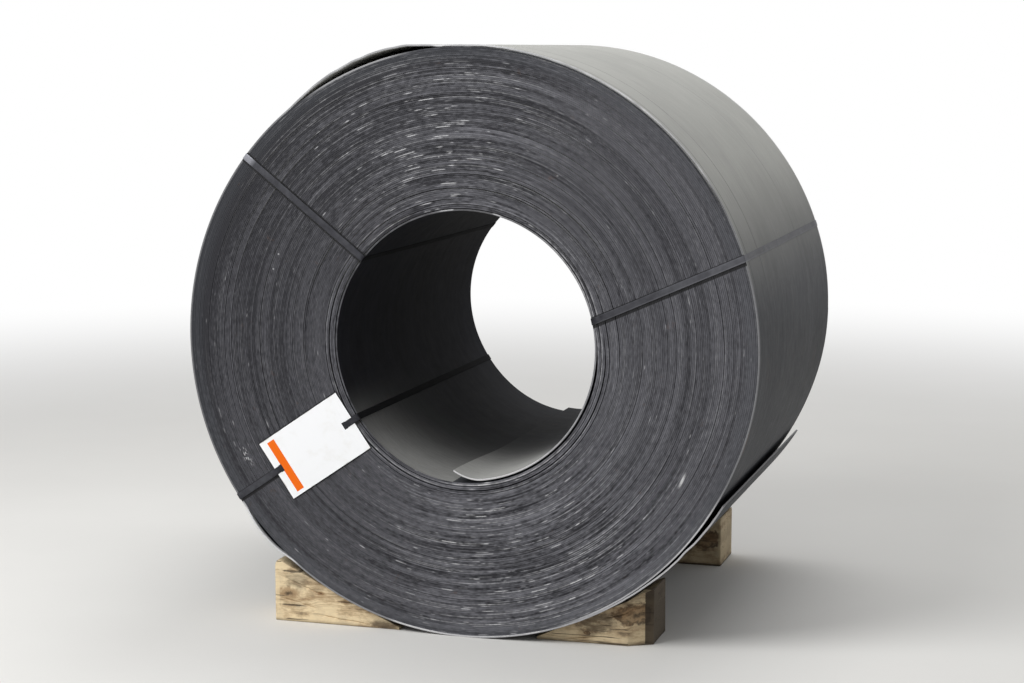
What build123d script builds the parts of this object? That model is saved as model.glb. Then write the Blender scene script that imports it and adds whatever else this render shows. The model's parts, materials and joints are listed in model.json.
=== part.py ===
from build123d import *
import math
import os

# Hot-rolled steel coil, eye to the side, strapped and resting between four timber wedges.
# Millimetres, +Z up. The coil's axis is along Y and its near end faces -Y.
# The origin is on the floor, under the middle of the coil.
# Angles are in degrees, counter-clockwise from the right as seen from the near end.

# Strip and coil
STRIP_WIDTH = 1250.0
STRIP_THICKNESS = 5.0
EYE_RADIUS = 381.0
WOUND_TURNS = 91

# Groups of turns that stand back from the ends by different amounts
NEAR_FEWEST_TURNS = 5
FAR_FEWEST_TURNS = 8
GROUP_TURNS_CYCLE = 5
GROUP_TURNS_STRIDE = 3
NEAR_END_INSET = 3.0
FAR_END_INSET = 4.0
INSET_PHASE_STEP = 137.5

# Innermost turn: its free end, the step where the strip passes over it, and the gap behind it
TONGUE_ANGLE = 265.0
STEP_ARC = 60.0
TONGUE_GAP = 4.0
TONGUE_FREE_ARC = 105.0

# A second open gap a few turns further out
INNER_GAP_TURNS = 4
INNER_GAP_WIDTH = 2.5
INNER_GAP_START = 140.0
INNER_GAP_ARC = 235.0

# Outermost turn: where it starts, its slack bulges and its lifted free end
OUTER_START_ANGLE = -29.0
OUTER_START_ARC = 24.0
TOP_SLACK_START = 95.0
TOP_SLACK_ARC = 33.0
TOP_SLACK_RISE = 20.0
SIDE_SLACK_START = 217.0
SIDE_SLACK_ARC = 14.0
SIDE_SLACK_RISE = 12.0
TAIL_LIFT_ANGLE = 297.0
TAIL_OPEN_ANGLE = 305.0
TAIL_END_ANGLE = 331.0
TAIL_LIFT = 15.0

# Steel straps through the eye
SEAT_GAP = 0.3
STRAP_WIDTH = 19.0
STRAP_THICKNESS = 0.9
STRAP_BEND = 0.8
STRAP_EYE_GAP = 0.7
UPPER_LEFT_STRAP_ANGLE = 141.4
LOWER_LEFT_STRAP_ANGLE = 214.3
RIGHT_STRAP_INNER_ANGLE = 12.5
RIGHT_STRAP_OUTER_ANGLE = 18.7

# Crimped seals on the straps, on the far end
SEAL_LENGTH = 34.0
SEAL_SHEET = 0.9
SEAL_CLEARANCE = 0.1
SEAL_NOTCH_RADIUS = 2.2
SEAL_NOTCH_SPACING = 18.0

# Card tag threaded on the lower left strap
TAG_LENGTH = 290.0
TAG_WIDTH = 188.0
TAG_THICKNESS = 0.3
TAG_INNER_MARGIN = 23.0
TAG_INNER_TAB = 30.0
TAG_OUTER_TAB = 20.0
TAG_RAMP = 8.0
TAG_SLOT_CLEARANCE = 1.5

# Timber wedges
CHOCK_SLOPE = 25.0
CHOCK_TOE_HEIGHT = 8.0
CHOCK_LENGTH = 190.0
LEFT_CHOCK_REACH = 592.0
RIGHT_CHOCK_REACH = 538.0
LEFT_CHOCK_SETBACK = 17.0
RIGHT_CHOCK_SETBACK = 42.0
REAR_CHOCK_SETBACK = 20.0
CHOCK_ARRIS = 3.0
SPLIT_CORNER_ALONG = 70.0
SPLIT_CORNER_ACROSS = 40.0

# Sizes that follow from the ones above
WOUND_RADIUS = EYE_RADIUS + WOUND_TURNS * STRIP_THICKNESS
COIL_RADIUS = WOUND_RADIUS + STRIP_THICKNESS
HALF_WIDTH = STRIP_WIDTH / 2
BLANK_RADIUS = COIL_RADIUS + TOP_SLACK_RISE + TAIL_LIFT
TAG_STRAP_GAP = 2 * SEAT_GAP + TAG_THICKNESS

# The model is drawn face on, x to the right, y up and z towards the near end, about the coil's axis.
# This plane stands it up, with the lowest point of the coil on the floor.
STANDING = Plane((0, 0, COIL_RADIUS), x_dir=(1, 0, 0), z_dir=(0, -1, 0))


def polar(radius, angle):
    """A point on the coil's end, by its distance from the axis and its angle."""
    return Vector(radius * math.cos(math.radians(angle)), radius * math.sin(math.radians(angle)))


def tangent(angle):
    """The counter-clockwise direction round the coil at an angle."""
    return Vector(-math.sin(math.radians(angle)), math.cos(math.radians(angle)))


def ring_gap(inner_radius, width, start_angle, arc):
    """A closed outline of a gap between two turns, with short radial ends."""
    outer_radius = inner_radius + width
    end_angle = start_angle + arc
    return Wire([
        CenterArc((0, 0), inner_radius, start_angle, arc).edge(),
        Line(polar(inner_radius, end_angle), polar(outer_radius, end_angle)).edge(),
        CenterArc((0, 0), outer_radius, start_angle, arc).edge(),
        Line(polar(outer_radius, start_angle), polar(inner_radius, start_angle)).edge(),
    ])


def arc_through(centre, radius, start, end):
    """The counter-clockwise arc about a centre between two directions given by points."""
    start_angle = math.degrees(math.atan2(start.Y - centre.Y, start.X - centre.X))
    end_angle = math.degrees(math.atan2(end.Y - centre.Y, end.X - centre.X))
    return CenterArc(centre, radius, start_angle, (end_angle - start_angle) % 360).edge()


def slack_arc_centre(start_angle, arc, rise):
    """Centre and radius of the arc that the outermost turn follows where it stands off."""
    half = math.radians(arc / 2)
    half_chord = COIL_RADIUS * math.sin(half)
    height = COIL_RADIUS * (1 - math.cos(half)) + rise
    radius = (half_chord**2 + height**2) / (2 * height)
    return polar(COIL_RADIUS + rise - radius, start_angle + arc / 2), radius


def slack_edge(start_angle, arc, rise):
    """Outside of the outermost turn over a slack stretch."""
    centre, radius = slack_arc_centre(start_angle, arc, rise)
    return arc_through(
        centre, radius, polar(COIL_RADIUS, start_angle), polar(COIL_RADIUS, start_angle + arc)
    )


def slack_gap(start_angle, arc, rise):
    """Outline of the gap under a slack stretch of the outermost turn."""
    centre, radius = slack_arc_centre(start_angle, arc, rise)
    inside = radius - STRIP_THICKNESS
    offset = centre.length
    middle = start_angle + arc / 2
    cosine = (WOUND_RADIUS**2 + offset**2 - inside**2) / (2 * WOUND_RADIUS * offset)
    half = math.degrees(math.acos(cosine))
    first = polar(WOUND_RADIUS, middle - half)
    last = polar(WOUND_RADIUS, middle + half)
    return Wire([
        arc_through(centre, inside, first, last),
        CenterArc((0, 0), WOUND_RADIUS, middle - half, 2 * half).edge(),
    ])


def tail_arc():
    """Centre and radius of the outside of the tail, which leaves the coil without a kink."""
    direction = polar(1, TAIL_LIFT_ANGLE)
    tip = polar(COIL_RADIUS + TAIL_LIFT, TAIL_END_ANGLE)
    offset = (tip.dot(tip) - COIL_RADIUS**2) / (2 * (tip.dot(direction) - COIL_RADIUS))
    return direction * offset, COIL_RADIUS - offset


def tail_point(depth, angle):
    """The point at an angle on the tail, at a depth below its outside."""
    centre, radius = tail_arc()
    direction = polar(1, angle)
    along = direction.dot(centre)
    reach = math.sqrt((radius - depth) ** 2 - centre.dot(centre) + along**2)
    return direction * (along + reach)


def outer_outline():
    """Outside of the coil's section: one turn with two bulges and a lifted free end."""
    tail_centre, tail_radius = tail_arc()
    start_end = OUTER_START_ANGLE + OUTER_START_ARC
    top_end = TOP_SLACK_START + TOP_SLACK_ARC
    side_end = SIDE_SLACK_START + SIDE_SLACK_ARC
    tail_root = tail_point(STRIP_THICKNESS, TAIL_OPEN_ANGLE)
    tail_inside = tail_point(STRIP_THICKNESS, TAIL_END_ANGLE)
    tail_outside = tail_point(0, TAIL_END_ANGLE)
    rising = TangentArc(
        polar(COIL_RADIUS, start_end),
        polar(WOUND_RADIUS, OUTER_START_ANGLE),
        tangent=-tangent(start_end),
    )
    return Wire([
        rising.edge(),
        CenterArc((0, 0), COIL_RADIUS, start_end, TOP_SLACK_START - start_end).edge(),
        slack_edge(TOP_SLACK_START, TOP_SLACK_ARC, TOP_SLACK_RISE),
        CenterArc((0, 0), COIL_RADIUS, top_end, SIDE_SLACK_START - top_end).edge(),
        slack_edge(SIDE_SLACK_START, SIDE_SLACK_ARC, SIDE_SLACK_RISE),
        CenterArc((0, 0), COIL_RADIUS, side_end, TAIL_LIFT_ANGLE - side_end).edge(),
        arc_through(tail_centre, tail_radius, polar(COIL_RADIUS, TAIL_LIFT_ANGLE), tail_outside),
        Line(tail_outside, tail_inside).edge(),
        arc_through(tail_centre, tail_radius - STRIP_THICKNESS, tail_root, tail_inside),
        Line(tail_root, polar(WOUND_RADIUS, TAIL_OPEN_ANGLE)).edge(),
        CenterArc(
            (0, 0), WOUND_RADIUS, TAIL_OPEN_ANGLE, 360 + OUTER_START_ANGLE - TAIL_OPEN_ANGLE
        ).edge(),
    ])


def eye_outline():
    """Wall of the eye, with the free inner end of the strip and the open gap behind it."""
    tongue_outside = EYE_RADIUS + STRIP_THICKNESS
    next_turn = tongue_outside + TONGUE_GAP
    step_start = TONGUE_ANGLE - STEP_ARC
    gap_end = TONGUE_ANGLE + TONGUE_FREE_ARC
    return Wire([
        CenterArc((0, 0), EYE_RADIUS, TONGUE_ANGLE, 360 - STEP_ARC).edge(),
        TangentArc(
            polar(EYE_RADIUS, step_start),
            polar(next_turn, TONGUE_ANGLE),
            tangent=tangent(step_start),
        ).edge(),
        CenterArc((0, 0), next_turn, TONGUE_ANGLE, TONGUE_FREE_ARC).edge(),
        Line(polar(next_turn, gap_end), polar(tongue_outside, gap_end)).edge(),
        CenterArc((0, 0), tongue_outside, TONGUE_ANGLE, TONGUE_FREE_ARC).edge(),
        Line(polar(tongue_outside, TONGUE_ANGLE), polar(EYE_RADIUS, TONGUE_ANGLE)).edge(),
    ])


def inset(group, deepest):
    """How far a group of turns stands back from the end of the coil."""
    return deepest * (1 + math.sin(math.radians(group * INSET_PHASE_STEP))) / 2


def stepped_end(fewest_turns, deepest):
    """Radius and inset along one end of the coil, stepped where one group of turns meets the next."""
    edges = [EYE_RADIUS / 2]
    turns = fewest_turns
    while turns < WOUND_TURNS:
        edges.append(EYE_RADIUS + turns * STRIP_THICKNESS)
        turns += fewest_turns + len(edges) * GROUP_TURNS_STRIDE % GROUP_TURNS_CYCLE
    edges.append(BLANK_RADIUS)
    return [
        (radius, inset(group, deepest))
        for group in range(len(edges) - 1)
        for radius in edges[group:group + 2]
    ]


def turned_blank():
    """Solid of revolution whose ends carry the steps between the groups of turns."""
    near = [
        (radius, HALF_WIDTH - back) for radius, back in stepped_end(NEAR_FEWEST_TURNS, NEAR_END_INSET)
    ]
    far = [
        (radius, back - HALF_WIDTH) for radius, back in stepped_end(FAR_FEWEST_TURNS, FAR_END_INSET)
    ]
    profile = make_face(Plane.XZ * Polyline(*near, *reversed(far), close=True))
    return revolve(profile, Axis.Z)


def steel_coil():
    """The wound coil as one turned solid, cut to the section of its inner and outer turns."""
    section = Face(
        outer_outline(),
        [
            eye_outline(),
            ring_gap(
                EYE_RADIUS + INNER_GAP_TURNS * STRIP_THICKNESS,
                INNER_GAP_WIDTH,
                INNER_GAP_START,
                INNER_GAP_ARC,
            ),
            slack_gap(TOP_SLACK_START, TOP_SLACK_ARC, TOP_SLACK_RISE),
            slack_gap(SIDE_SLACK_START, SIDE_SLACK_ARC, SIDE_SLACK_RISE),
        ],
    )
    return extrude(section, STRIP_WIDTH / 2, both=True) & turned_blank()


def strap_ends(inner_angle, outer_angle):
    """Middle of the strap's outside at the eye and at the outside of the coil, on an end face."""
    inner = polar(EYE_RADIUS - STRAP_EYE_GAP - STRAP_THICKNESS, inner_angle)
    outer = polar(COIL_RADIUS + SEAT_GAP + STRAP_THICKNESS, outer_angle)
    return inner, outer


def strap(inner_angle, outer_angle, near_gap):
    """A closed loop of strapping: through the eye, over both ends and along the outside."""
    near_face = HALF_WIDTH + near_gap + STRAP_THICKNESS
    far_face = -HALF_WIDTH - SEAT_GAP - STRAP_THICKNESS
    length = near_face - far_face
    middle = (near_face + far_face) / 2
    inner, outer = strap_ends(inner_angle, outer_angle)
    across_inner = tangent(inner_angle) * (STRAP_WIDTH / 2)
    across_outer = tangent(outer_angle) * (STRAP_WIDTH / 2)
    end_run = Face(Wire.make_polygon([
        inner - across_inner,
        outer - across_outer,
        outer + across_outer,
        inner + across_inner,
    ]))
    run = Box(STRAP_THICKNESS, STRAP_WIDTH, length)
    half = STRAP_THICKNESS / 2
    loop = Rot(0, 0, inner_angle) * Pos(inner.length + half, 0, middle) * run
    loop += Rot(0, 0, outer_angle) * Pos(outer.length - half, 0, middle) * run
    loop += Pos(0, 0, near_face - STRAP_THICKNESS) * extrude(end_run, STRAP_THICKNESS)
    loop += Pos(0, 0, far_face) * extrude(end_run, STRAP_THICKNESS)
    bends = [end + Vector(0, 0, level) for end in (inner, outer) for level in (near_face, far_face)]
    corners = [
        edge
        for edge in loop.edges()
        if min((edge.center() - bend).length for bend in bends) < half
    ]
    return fillet(corners, STRAP_BEND)


def seal(inner_angle, outer_angle):
    """A notched seal crimped over the strap, half way across the far end."""
    inner, outer = strap_ends(inner_angle, outer_angle)
    run = outer - inner
    middle = (inner + outer) * 0.5
    turn = math.degrees(math.atan2(run.Y, run.X))
    width = STRAP_WIDTH + 2 * (SEAL_CLEARANCE + SEAL_SHEET)
    depth = SEAT_GAP + STRAP_THICKNESS + SEAL_SHEET
    sleeve = Box(SEAL_LENGTH, width, depth, align=(Align.CENTER, Align.CENTER, Align.MAX))
    hollow = Box(
        2 * SEAL_LENGTH,
        STRAP_WIDTH + 2 * SEAL_CLEARANCE,
        depth - SEAL_SHEET,
        align=(Align.CENTER, Align.CENTER, Align.MAX),
    )
    notch = Cylinder(SEAL_NOTCH_RADIUS, 4 * depth)
    notches = [
        Pos(along, side * (width / 2 + SEAL_SHEET), 0) * notch
        for along in (-SEAL_NOTCH_SPACING / 2, SEAL_NOTCH_SPACING / 2)
        for side in (-1, 1)
    ]
    crimped = sleeve - hollow - notches
    return Pos(middle.X, middle.Y, -HALF_WIDTH - SEAL_CLEARANCE) * Rot(0, 0, turn) * crimped


def tag():
    """A card whose two ends lie under the strap and whose middle rides over it, through two slots."""
    inner_end = EYE_RADIUS + TAG_INNER_MARGIN
    outer_end = inner_end + TAG_LENGTH
    under = HALF_WIDTH + SEAT_GAP
    over = HALF_WIDTH + TAG_STRAP_GAP + STRAP_THICKNESS + SEAT_GAP
    inner_ramp = inner_end + TAG_INNER_TAB
    outer_ramp = outer_end - TAG_OUTER_TAB
    path = [
        (inner_end, under),
        (inner_ramp - TAG_RAMP / 2, under),
        (inner_ramp + TAG_RAMP / 2, over),
        (outer_ramp - TAG_RAMP / 2, over),
        (outer_ramp + TAG_RAMP / 2, under),
        (outer_end, under),
    ]
    raised = [(along, level + TAG_THICKNESS) for along, level in reversed(path)]
    side = make_face(Plane.XZ * Polyline(*path, *raised, close=True))
    card = extrude(side, TAG_WIDTH / 2, both=True)
    slot = Box(TAG_RAMP + 2 * TAG_SLOT_CLEARANCE, STRAP_WIDTH + 2 * TAG_SLOT_CLEARANCE, 4 * over)
    card -= [Pos(inner_ramp, 0, 0) * slot, Pos(outer_ramp, 0, 0) * slot]
    return Rot(0, 0, LOWER_LEFT_STRAP_ANGLE) * card


def chock(side, reach, near_level, split_corner):
    """A sawn wedge whose slope touches the coil. side is -1 on the left and 1 on the right."""
    floor = -COIL_RADIUS
    slope = math.tan(math.radians(CHOCK_SLOPE))
    # The sloping top is a line at this distance from the axis.
    distance = COIL_RADIUS + SEAT_GAP
    start = -distance / math.cos(math.radians(CHOCK_SLOPE))
    toe = (floor + CHOCK_TOE_HEIGHT - start) / slope
    outline = Polyline(
        (side * toe, floor),
        (side * reach, floor),
        (side * reach, start + slope * reach),
        (side * toe, floor + CHOCK_TOE_HEIGHT),
        close=True,
    )
    wedge = Pos(0, 0, near_level - CHOCK_LENGTH) * extrude(make_face(outline), CHOCK_LENGTH)
    heel = wedge.faces().sort_by(Axis.X)[0 if side < 0 else -1]
    if split_corner:
        near_edge = heel.edges().sort_by(Axis.Z)[-1]
        near_face = wedge.faces().sort_by(Axis.Z)[-1]
        wedge = chamfer(near_edge, SPLIT_CORNER_ACROSS, SPLIT_CORNER_ALONG, reference=near_face)
        heel = wedge.faces().sort_by(Axis.X)[0 if side < 0 else -1]
    return chamfer(heel.edges().sort_by(Axis.Y)[-1], CHOCK_ARRIS)


upper_left = (UPPER_LEFT_STRAP_ANGLE, UPPER_LEFT_STRAP_ANGLE)
lower_left = (LOWER_LEFT_STRAP_ANGLE, LOWER_LEFT_STRAP_ANGLE)
right = (RIGHT_STRAP_INNER_ANGLE, RIGHT_STRAP_OUTER_ANGLE)
rear_level = -HALF_WIDTH + REAR_CHOCK_SETBACK + CHOCK_LENGTH

pieces = {
    "steel_coil": steel_coil(),
    "strap_upper_left": strap(*upper_left, SEAT_GAP),
    "strap_lower_left": strap(*lower_left, TAG_STRAP_GAP),
    "strap_right": strap(*right, SEAT_GAP),
    "seal_upper_left": seal(*upper_left),
    "seal_lower_left": seal(*lower_left),
    "seal_right": seal(*right),
    "tag": tag(),
    "chock_near_left": chock(-1, LEFT_CHOCK_REACH, HALF_WIDTH - LEFT_CHOCK_SETBACK, False),
    "chock_near_right": chock(1, RIGHT_CHOCK_REACH, HALF_WIDTH - RIGHT_CHOCK_SETBACK, True),
    "chock_far_left": chock(-1, LEFT_CHOCK_REACH, rear_level, False),
    "chock_far_right": chock(1, RIGHT_CHOCK_REACH, rear_level, False),
}

os.makedirs("parts", exist_ok=True)
for name, piece in pieces.items():
    export_step(STANDING * piece, f"parts/{name}.step")
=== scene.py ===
import json
import math
from typing import NamedTuple

import bmesh
import bpy
import numpy as np
from bpy.props import FloatProperty, FloatVectorProperty, IntProperty, PointerProperty
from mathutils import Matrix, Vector, noise


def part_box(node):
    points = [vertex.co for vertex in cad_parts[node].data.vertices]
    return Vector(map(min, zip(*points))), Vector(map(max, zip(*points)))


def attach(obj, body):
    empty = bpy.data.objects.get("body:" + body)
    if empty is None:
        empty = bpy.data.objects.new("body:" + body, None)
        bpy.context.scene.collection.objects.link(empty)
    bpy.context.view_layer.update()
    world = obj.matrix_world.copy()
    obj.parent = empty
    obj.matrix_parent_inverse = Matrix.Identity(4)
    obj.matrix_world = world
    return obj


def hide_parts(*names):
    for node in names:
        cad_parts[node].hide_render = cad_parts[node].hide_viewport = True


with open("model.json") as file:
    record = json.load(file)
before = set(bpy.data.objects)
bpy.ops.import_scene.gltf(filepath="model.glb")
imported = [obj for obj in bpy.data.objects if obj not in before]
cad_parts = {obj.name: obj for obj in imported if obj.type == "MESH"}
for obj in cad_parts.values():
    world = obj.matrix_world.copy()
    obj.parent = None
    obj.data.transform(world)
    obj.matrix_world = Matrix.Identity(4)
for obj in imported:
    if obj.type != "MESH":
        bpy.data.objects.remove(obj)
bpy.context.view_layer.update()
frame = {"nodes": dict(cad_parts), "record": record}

bl_info = {
    "name": "Steel coil",
    "version": (1, 0, 0),
    "blender": (4, 5, 0),
    "location": "3D View > Sidebar > Steel coil",
    "description": "Wound strip, steel straps, card tag and timber wedges of a coil on its side",
    "category": "Object",
}

# What the frame says. Metres, +Z up, the coil's axis along Y, its near end facing -Y.
MM = 0.001
EYE = next(mount for mount in frame["record"]["mounts"] if mount["name"] == "eye")
AXIS_HEIGHT = EYE["pos_m"][2]
EYE_RADIUS = EYE["dims"]["r_mm"] * MM
COIL_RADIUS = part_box("steel_coil")[1].z - AXIS_HEIGHT
HALF_WIDTH = -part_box("steel_coil")[0].y

# Stretches of the outer turns, in degrees round the axis, counter-clockwise from the right.
TOP_SLACK = (95, 128)
SIDE_SLACK = (217, 231)
TORN_TOP = (78, 130)
TORN_SIDE = (214, 234)
TORN_BACK = (74, 108)
STANDS_BACK = (24, 92)
TAIL_DENT = (317.5, 321.5)
# The BRIGHT stretches get a painted highlight on the outer edges, the DULLED ones less of it.
BRIGHT_TOP = (30, 134)
DULLED_TOP = (94, 140)
BRIGHT_LOW = (212, 334)
DULLED_LOW = (231, 256)
BRIGHT_UNDER_SLACK = (99, 126)

# A strap's loop in stations: at each of its four corners a bend, then a straight run to the next corner.
# It starts at the outer near corner and ends there as WHOLE_LOOP.
BEND_STEPS, RUN_STEPS = 6, 24
OUTER_FAR, INNER_FAR, INNER_NEAR, WHOLE_LOOP = (
    corner * (BEND_STEPS + RUN_STEPS) for corner in range(1, 5)
)
STRAP_WIDTH = 19 * MM
# How far the painted shadow beside each strap fades out.
STRAP_SHADOW_FADE = 3 * MM
# Beyond the tag the lower left strap is lighter: in its last stations on the near end, and outside.
BEYOND_TAG_STATIONS = 7
BEYOND_TAG_TONE = 0.27


class StrapLook(NamedTuple):
    """A strap on the ends: width of the painted shadow below and above it, and its tone by the eye and
    outermost.
    """

    shadow_below: float
    shadow_above: float
    by_eye: float
    outermost: float


STRAPS = {
    "strap_upper_left": StrapLook(5 * MM, 3 * MM, 0.24, 0.3),
    "strap_lower_left": StrapLook(7 * MM, 0.5 * MM, 0.06, 0.06),
    "strap_right": StrapLook(8.5 * MM, 0.5 * MM, 0.26, 0.6),
}
CHOCKS = ("chock_near_left", "chock_near_right", "chock_far_left", "chock_far_right")


def node_points(node):
    """The corners of a CAD node as rows of x, y and height above the coil's axis."""
    points = np.array([vertex.co for vertex in frame["nodes"][node].data.vertices])
    return points - (0, 0, AXIS_HEIGHT)


def smooth(x):
    """0 below 0, 1 above 1 and a smooth step between."""
    x = np.clip(x, 0, 1)
    return x * x * (3 - 2 * x)


def window(x, start, end, ramp):
    """1 between two places and 0 outside, with a smooth ramp at each."""
    return smooth((x - start) / ramp) * smooth((end - x) / ramp)


def depth_share(y):
    """0 on the near end, 1 on the far end."""
    return np.clip((y + HALF_WIDTH) / (2 * HALF_WIDTH), 0, 1)


def wander(rng, span, step):
    """A smooth random curve between -1 and 1 over a span, with a fresh value at every step."""
    knots = rng.uniform(-1, 1, int(span / step) + 3)

    def curve(x):
        place = np.clip(x, 0, span) / step
        knot = place.astype(int)
        share = smooth(place - knot)
        return knots[knot] * (1 - share) + knots[knot + 1] * share

    return curve


def both_forms(operation):
    """An operator that adds a Math node, and its reflected form."""
    return (
        lambda value, other: value.math(operation, value, other),
        lambda value, other: value.math(operation, other, value),
    )


class Value:
    """What a node gives. Python's operators on a number add Math nodes."""

    __add__, __radd__ = both_forms("ADD")
    __sub__, __rsub__ = both_forms("SUBTRACT")
    __mul__, __rmul__ = both_forms("MULTIPLY")
    __truediv__, __rtruediv__ = both_forms("DIVIDE")
    __pow__, __rpow__ = both_forms("POWER")

    def __init__(self, nodes, socket):
        self.nodes = nodes
        self.socket = socket

    def math(self, operation, *values):
        return self.nodes.node("ShaderNodeMath", values, operation=operation)

    def __abs__(self):
        return self.math("ABSOLUTE", self)

    def sqrt(self):
        return self.math("SQRT", self)

    def larger(self, other):
        return self.math("MAXIMUM", self, other)

    def clamp(self):
        return self.math("MINIMUM", self.larger(0.0), 1.0)

    def rise(self, low, high):
        """0 where the value is below low, 1 above high and a smooth step between."""
        sockets = {"Value": self, "From Min": low, "From Max": high}
        return self.nodes.node("ShaderNodeMapRange", sockets, interpolation_type="SMOOTHSTEP")

    def fall(self, low, high):
        """1 where the value is below low, 0 above high and a smooth step between."""
        return 1 - self.rise(low, high)

    def near(self, centre, reach):
        """1 at a centre, 0 further from it than its reach."""
        return abs(self - centre).fall(0.0, reach)


class Nodes:
    """The node tree of a material or a world, under construction."""

    def __init__(self, owner):
        owner.use_nodes = True
        self.tree = owner.node_tree
        self.tree.nodes.clear()

    def node(self, kind, inputs=(), output=0, **settings):
        """Adds a node of a type, sets its settings, then its sockets, and returns one of its outputs."""
        node = self.tree.nodes.new(kind)
        for name, value in settings.items():
            setattr(node, name, value)
        named = inputs if isinstance(inputs, dict) else dict(enumerate(inputs))
        for key, value in named.items():
            socket = self.find(node.inputs, key)
            if isinstance(value, Value):
                self.tree.links.new(value.socket, socket)
            else:
                socket.default_value = value
        return Value(self, self.find(node.outputs, output)) if len(node.outputs) else None

    @staticmethod
    def find(sockets, key):
        """A socket by its place, its identifier or its name."""
        if isinstance(key, int):
            return sockets[key]
        same = [socket for socket in sockets if socket.identifier == key]
        return same[0] if same else sockets[key]


class Paint(Nodes):
    """One material under construction."""

    def __init__(self, name):
        self.material = bpy.data.materials.new(name)
        super().__init__(self.material)
        self.place = self.node("ShaderNodeTexCoord", output="Object")

    def mix(self, first, second, share):
        """A colour between two others."""
        first, second = ((*c, 1.0) if isinstance(c, tuple) else c for c in (first, second))
        sockets = {"Factor_Float": share, "A_Color": first, "B_Color": second}
        return self.node("ShaderNodeMix", sockets, "Result_Color", data_type="RGBA")

    def layers(self, base, *coats):
        """A colour under others, each laid on with its own share."""
        for coat, share in coats:
            base = self.mix(base, coat, share)
        return base

    def split(self, vector):
        """The three numbers of a vector."""
        return [self.node("ShaderNodeSeparateXYZ", [vector], axis) for axis in range(3)]

    def join(self, *numbers):
        return self.node("ShaderNodeCombineXYZ", numbers)

    def stretch(self, vector, *factors):
        """A vector with each of its numbers multiplied by its own factor."""
        return self.node("ShaderNodeVectorMath", [vector, factors], operation="MULTIPLY")

    def noise(self, vector, scale, detail=3.0, roughness=0.55):
        sockets = {"Vector": vector, "Scale": scale, "Detail": detail, "Roughness": roughness}
        return self.node("ShaderNodeTexNoise", sockets)

    def along(self, strip_length, scale):
        """Noise that changes only along the strip, so each turn has its own."""
        sockets = {"W": strip_length, "Scale": scale, "Detail": 1.0}
        return self.node("ShaderNodeTexNoise", sockets, noise_dimensions="1D")

    def attribute(self, name):
        """A number that the mesh carries at its points."""
        return self.node("ShaderNodeAttribute", (), "Fac", attribute_name=name)

    def around_axis(self):
        """x, y, height and distance from the coil's axis, with x and height as a direction."""
        x, y, z = self.split(self.place)
        height = z - AXIS_HEIGHT
        radius = (x * x + height * height).sqrt()
        return x / radius, y, height / radius, radius

    def rubbed_place(self, aim, from_axis, half_width, half_length):
        """1 in the middle of a long spot on the near end and 0 outside it."""
        x, y, z, radius = self.around_axis()
        forward = (x * -math.sin(aim) + z * math.cos(aim)) * radius
        slanted = radius - from_axis + forward * 0.08
        spot = slanted.near(0.0, half_width) * forward.near(0.0, half_length)
        this_side = (x * math.cos(aim) + z * math.sin(aim)).rise(0.0, 0.5)
        return spot * this_side * y.fall(-0.1, 0.0)

    def bump(self, height, distance, strength):
        sockets = {"Strength": strength, "Distance": distance, "Height": height}
        return self.node("ShaderNodeBump", sockets)

    def finish(self, specular, **sockets):
        """Joins the values to the surface shader and returns the material."""
        named = {name.replace("_", " ").title(): value for name, value in sockets.items()}
        shader = self.node("ShaderNodeBsdfPrincipled", {"Specular IOR Level": specular, **named})
        self.node("ShaderNodeOutputMaterial", [shader])
        return self.material


def rgb(red, green, blue):
    """A linear colour from the numbers of a screen colour, 0 to 255."""
    return tuple(
        value / 12.92 if value <= 0.04045 else ((value + 0.055) / 1.055) ** 2.4
        for value in (red / 255, green / 255, blue / 255)
    )


def colour(name, description, *screen):
    """A colour that the user may change."""
    return FloatVectorProperty(
        name=name, description=description, subtype="COLOR", size=3, min=0, max=1, default=rgb(*screen)
    )


def length(name, description, millimetres):
    """A size that the user may change."""
    return FloatProperty(
        name=name, description=description, unit="LENGTH", min=0, default=millimetres * MM
    )


def angle(name, description, degrees):
    """An angle that the user may change, counter-clockwise from the right, seen from the near end."""
    return FloatProperty(
        name=name, description=description, subtype="ANGLE", default=math.radians(degrees)
    )


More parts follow.
